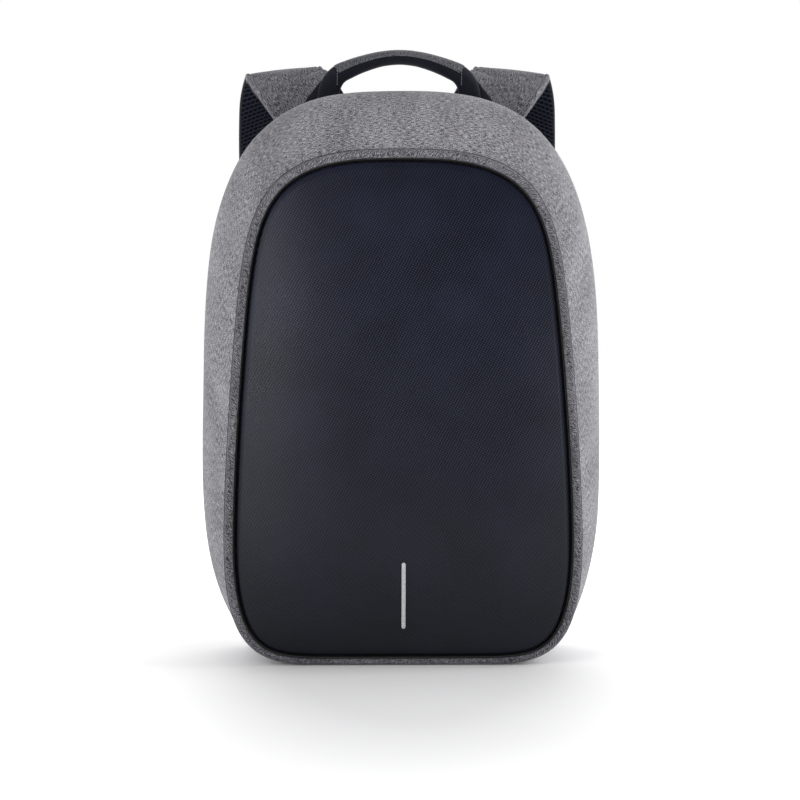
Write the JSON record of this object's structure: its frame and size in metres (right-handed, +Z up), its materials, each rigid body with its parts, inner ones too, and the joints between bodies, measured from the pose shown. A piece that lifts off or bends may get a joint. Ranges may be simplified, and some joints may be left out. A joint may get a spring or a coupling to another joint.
{
  "type": "anti theft backpack",
  "caption": "Upright grey melange backpack with a smooth dark front panel in a padded rim, a carry handle and two padded shoulder straps.",
  "frame": {"origin": "on the floor under the middle of the body, on the flat base", "axes": "+Z up along the height of the bag, front panel toward -Y, straps toward +Y, +X to the right seen from the front"},
  "size_m": [0.309, 0.2312, 0.4737],
  "materials": {
    "melange": "grey melange polyester weave",
    "rim_melange": "grey melange polyester weave over a padded roll",
    "strap_melange": "grey melange polyester weave",
    "front_skin": "matt navy-black skin with a fine twill emboss",
    "reflective": "light grey reflective transfer",
    "back_mesh": "dark padded cloth",
    "zip_tape": "dark zip tape and coil",
    "hard_plastic": "moulded dark plastic",
    "handle_webbing": "dark grey fine-ribbed webbing",
    "woven_patch": "near-black woven cloth",
    "spacer_mesh": "black air mesh with small oval holes",
    "webbing": "black ribbed webbing"
  },
  "bodies": {
    "root": {"shell": "melange", "front_rim": "rim_melange", "front_panel": "front_skin", "reflective_strip": "reflective", "back_panel": "back_mesh", "rear_zip": "zip_tape", "zip_slider": "hard_plastic", "carry_handle": "handle_webbing", "handle_tab_left": "woven_patch", "handle_tab_right": "woven_patch", "strap_left": "strap_melange", "strap_right": "strap_melange", "strap_mesh_left": "spacer_mesh", "strap_mesh_right": "spacer_mesh", "adjuster_loop_left": "webbing", "adjuster_loop_right": "webbing", "adjuster_left": "hard_plastic", "adjuster_right": "hard_plastic", "webbing_left": "webbing", "webbing_right": "webbing", "webbing_tab_left": "woven_patch", "webbing_tab_right": "woven_patch"}
  },
  "joints": []
}
